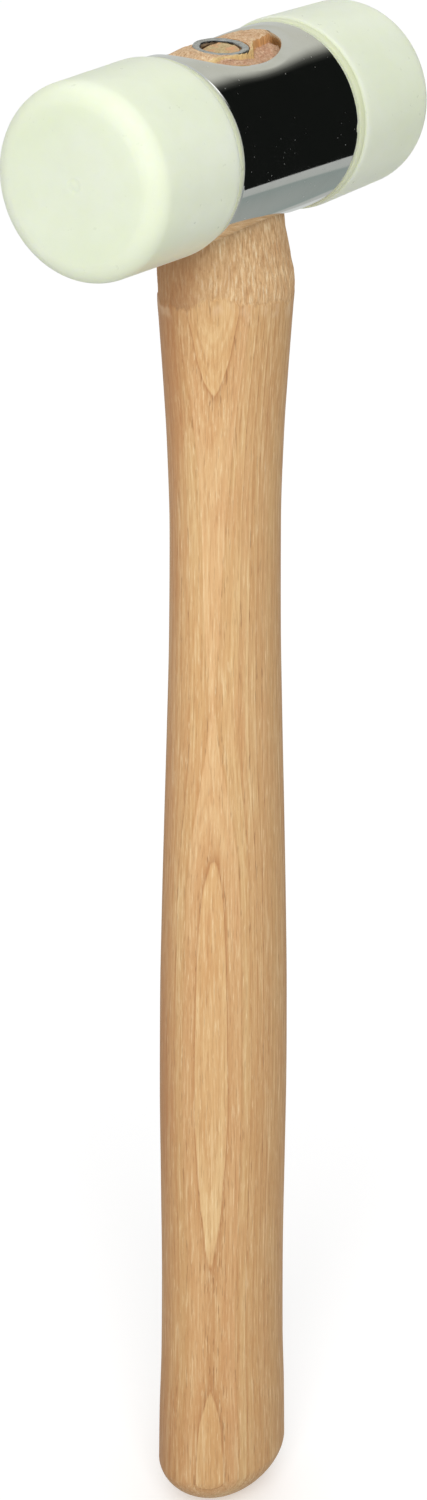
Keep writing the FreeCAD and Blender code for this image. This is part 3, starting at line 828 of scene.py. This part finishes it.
# ---------------------------------------------------------------- stage and light
def make_stage():
    # pale floor, a disc under the hammer; from below it isn't drawn
    seg, rad = 128, 0.56
    rings = [0.0, 0.08, 0.2, 0.34, 0.46, rad]
    verts = [(0, 0, 0)]
    faces = []
    for r in rings[1:]:
        for j in range(seg):
            a = 2 * math.pi * j / seg
            verts.append((r * math.cos(a), r * math.sin(a), 0))
    for j in range(seg):
        faces.append((0, 1 + j, 1 + (j + 1) % seg))
    for q in range(len(rings) - 2):
        for j in range(seg):
            k = (j + 1) % seg
            faces.append((1 + q * seg + j, 1 + (q + 1) * seg + j, 1 + (q + 1) * seg + k, 1 + q * seg + k))
    me = bpy.data.meshes.new("floor")
    me.from_pydata(verts, [], faces)
    me.update()
    ob = bpy.data.objects.new("floor", me)
    scene.collection.objects.link(ob)
    ob.location.z = -0.0001
    m = bpy.data.materials.new("floor")
    m.use_nodes = True
    t = m.node_tree
    t.nodes.clear()
    out = t.nodes.new("ShaderNodeOutputMaterial")
    diff = t.nodes.new("ShaderNodeBsdfDiffuse")
    diff.inputs["Color"].default_value = (0.86, 0.86, 0.86, 1)
    em = t.nodes.new("ShaderNodeEmission")
    em.inputs["Color"].default_value = (1, 1, 1, 1)
    em.inputs["Strength"].default_value = 0.30
    add = t.nodes.new("ShaderNodeAddShader")
    t.links.new(diff.outputs[0], add.inputs[0])
    t.links.new(em.outputs[0], add.inputs[1])
    # away from the hammer the floor fades to plain white paper
    tc = t.nodes.new("ShaderNodeTexCoord")
    ln = t.nodes.new("ShaderNodeVectorMath"); ln.operation = "LENGTH"
    t.links.new(tc.outputs["Object"], ln.inputs[0])
    mr = t.nodes.new("ShaderNodeMapRange"); mr.interpolation_type = "SMOOTHSTEP"
    mr.inputs["From Min"].default_value = 0.07; mr.inputs["From Max"].default_value = 0.26
    t.links.new(ln.outputs["Value"], mr.inputs["Value"])
    white = t.nodes.new("ShaderNodeEmission")
    white.inputs["Color"].default_value = (1, 1, 1, 1)
    white.inputs["Strength"].default_value = 1.02
    mx = t.nodes.new("ShaderNodeMixShader")
    t.links.new(mr.outputs[0], mx.inputs[0])
    t.links.new(add.outputs[0], mx.inputs[1])
    t.links.new(white.outputs[0], mx.inputs[2])
    # polished metal sees a duller floor with a brighter far edge
    lp = t.nodes.new("ShaderNodeLightPath")
    gl = t.nodes.new("ShaderNodeEmission")
    rampn = t.nodes.new("ShaderNodeValToRGB")
    e = rampn.color_ramp.elements
    stops = [(0.0, (0.66, 0.67, 0.63)), (0.20, (0.56, 0.57, 0.52)), (0.42, (0.41, 0.43, 0.41)), (0.66, (0.35, 0.37, 0.345)), (0.84, (0.285, 0.33, 0.31)), (0.862, (0.45, 0.47, 0.44)), (1.0, (0.48, 0.49, 0.47))]
    while len(e) < len(stops):
        e.new(0.5)
    for el, (p, c) in zip(e, stops):
        el.position = p; el.color = (*c, 1)
    sc = t.nodes.new("ShaderNodeMath"); sc.operation = "DIVIDE"; sc.inputs[1].default_value = rad
    t.links.new(ln.outputs["Value"], sc.inputs[0])
    t.links.new(sc.outputs[0], rampn.inputs[0])
    t.links.new(rampn.outputs[0], gl.inputs["Color"])
    gl.inputs["Strength"].default_value = 1.0
    mg = t.nodes.new("ShaderNodeMixShader")
    t.links.new(lp.outputs["Is Glossy Ray"], mg.inputs[0])
    t.links.new(mx.outputs[0], mg.inputs[1])
    t.links.new(gl.outputs[0], mg.inputs[2])
    dm = t.nodes.new("ShaderNodeEmission")
    dm.inputs["Color"].default_value = (1.0, 0.99, 0.97, 1)
    dr = t.nodes.new("ShaderNodeMapRange")
    for k, q in (("From Min", 0.06), ("From Max", 0.30), ("To Min", 0.46), ("To Max", 0.82)):
        dr.inputs[k].default_value = q
    t.links.new(ln.outputs["Value"], dr.inputs["Value"])
    t.links.new(dr.outputs[0], dm.inputs["Strength"])
    md = t.nodes.new("ShaderNodeMixShader")
    t.links.new(lp.outputs["Is Diffuse Ray"], md.inputs[0])
    t.links.new(mg.outputs[0], md.inputs[1])
    t.links.new(dm.outputs[0], md.inputs[2])
    mg = md
    # seen from below it is clear
    geo = t.nodes.new("ShaderNodeNewGeometry")
    tr = t.nodes.new("ShaderNodeBsdfTransparent")
    mb = t.nodes.new("ShaderNodeMixShader")
    t.links.new(geo.outputs["Backfacing"], mb.inputs[0])
    t.links.new(mg.outputs[0], mb.inputs[1])
    t.links.new(tr.outputs[0], mb.inputs[2])
    t.links.new(mb.outputs[0], out.inputs[0])
    me.materials.append(m)
    return ob


def make_world():
    w = bpy.data.worlds.new("studio")
    scene.world = w
    w.use_nodes = True
    t = w.node_tree
    t.nodes.clear()
    out = t.nodes.new("ShaderNodeOutputWorld")
    L = t.links.new

    def math_(op, a, b=None, clamp=False):
        m = t.nodes.new("ShaderNodeMath"); m.operation = op; m.use_clamp = clamp
        for i, v in enumerate((a, b)):
            if v is None: continue
            if isinstance(v, (int, float)): m.inputs[i].default_value = v
            else: L(v, m.inputs[i])
        return m.outputs[0]

    def rng(v, a, b, c=0.0, d=1.0):
        m = t.nodes.new("ShaderNodeMapRange"); m.clamp = True
        for k, q in (("From Min", a), ("From Max", b), ("To Min", c), ("To Max", d)):
            m.inputs[k].default_value = q
        L(v, m.inputs["Value"])
        return m.outputs["Result"]

    tc = t.nodes.new("ShaderNodeTexCoord")
    sep = t.nodes.new("ShaderNodeSeparateXYZ")
    L(tc.outputs["Generated"], sep.inputs[0])
    x, y, z = sep.outputs
    lp = t.nodes.new("ShaderNodeLightPath")
    # what shiny things see: a dark studio wall between a bright ceiling and the floor, with a pale backdrop behind the hammer
    elev = math_("ARCSINE", z)
    deg = math_("MULTIPLY", elev, 57.2958)
    azim = math_("MULTIPLY", math_("ARCTAN2", x, y), 57.2958)     # 0 along +Y, 90 along +X
    wall_r = t.nodes.new("ShaderNodeValToRGB")
    we = wall_r.color_ramp.elements
    wst = [(0.0, 0.0), (0.14, 0.06), (0.34, 0.30), (0.53, 0.62), (0.72, 0.895), (0.89, 0.975), (1.0, 1.0)]
    while len(we) < len(wst):
        we.new(0.5)
    for el, (p, c) in zip(we, wst):
        el.position = p; el.color = (c, c, c, 1)
    L(rng(azim, 85.5, 103.0), wall_r.inputs[0])
    # round the other side it ends behind the left of the hammer
    far = math_("MAXIMUM", wall_r.outputs[0], rng(azim, -28, -44))
    wall = math_("MULTIPLY", far, rng(deg, 42, 58, 1, 0))
    ceil_r = t.nodes.new("ShaderNodeValToRGB")
    e = ceil_r.color_ramp.elements
    stops = [(0.0, (0.62, 0.64, 0.62)), (0.35, (0.60, 0.60, 0.52)), (0.55, (0.66, 0.67, 0.62)), (0.8, (0.66, 0.68, 0.67)), (1.0, (0.66, 0.68, 0.69))]
    while len(e) < len(stops):
        e.new(0.5)
    for el, (p, c) in zip(e, stops):
        el.position = p; el.color = (*c, 1)
    L(rng(deg, 0, 90), ceil_r.inputs[0])
    mixc = t.nodes.new("ShaderNodeMix"); mixc.data_type = "RGBA"
    ins = [s for s in mixc.inputs if s.type == "RGBA"]
    L(wall, [s for s in mixc.inputs if s.type == "VALUE"][0])
    L(ceil_r.outputs[0], ins[0])
    ins[1].default_value = (0.007, 0.008, 0.007, 1)
    glossy = t.nodes.new("ShaderNodeBackground")
    L([s for s in mixc.outputs if s.type == "RGBA"][0], glossy.inputs["Color"])
    win = math_("MULTIPLY", rng(azim, -154, -138), rng(azim, -96, -112))
    win = math_("MULTIPLY", win, math_("MULTIPLY", rng(deg, 10, 24), rng(deg, 64, 50)))
    L(rng(win, 0, 1, 1.0, 3.0), glossy.inputs["Strength"])
    # soft room light: more from above
    amb = t.nodes.new("ShaderNodeBackground")
    amb.inputs["Color"].default_value = (1, 1, 1, 1)
    L(rng(z, -1, 1, 0.46, 0.52), amb.inputs["Strength"])
    seen = t.nodes.new("ShaderNodeBackground")
    seen.inputs["Color"].default_value = (1, 1, 1, 1)
    seen.inputs["Strength"].default_value = 1.02
    m1 = t.nodes.new("ShaderNodeMixShader")
    L(lp.outputs["Is Glossy Ray"], m1.inputs[0]); L(amb.outputs[0], m1.inputs[1]); L(glossy.outputs[0], m1.inputs[2])
    m2 = t.nodes.new("ShaderNodeMixShader")
    L(lp.outputs["Is Camera Ray"], m2.inputs[0]); L(m1.outputs[0], m2.inputs[1]); L(seen.outputs[0], m2.inputs[2])
    L(m2.outputs[0], out.inputs[0])


def area_light(name, loc, target, size, power, color=(1, 1, 1), glossy=False):
    l = bpy.data.lights.new(name, "AREA")
    l.shape = "RECTANGLE"
    l.size, l.size_y = size
    l.energy = power
    l.color = color
    ob = bpy.data.objects.new(name, l)
    scene.collection.objects.link(ob)
    ob.location = loc
    d = Vector(target) - Vector(loc)
    ob.rotation_mode = "QUATERNION"
    ob.rotation_quaternion = d.to_track_quat("-Z", "Y")
    ob.visible_glossy = glossy
    ob.visible_camera = False
    return ob


def make_lights():
    c = (0, 0, 0.16)
    # large soft key from the camera's side, above
    area_light("key", (-1.15, -0.72, 1.05), c, (0.9, 0.9), 15.5, (1.0, 0.998, 0.99))
    # overhead softbox
    area_light("top", (0.05, -0.05, 1.35), (0, 0, 0.2), (1.0, 1.0), 1.6)
    # weak light from behind, for the far side
    area_light("rim", (0.95, 0.95, 0.9), c, (0.9, 0.9), 1.6)


# ---------------------------------------------------------------- build
make_camera()
nylon = nylon_material()
make_face("nylon_face_left", -1, "left_face", "striking_face_left", nylon)
make_face("nylon_face_right", 1, "right_face", "striking_face_right", nylon)
make_tube(chrome_material())
make_handle(wood_material())
make_wedge(wedge_material())
make_stage()
make_world()
make_lights()
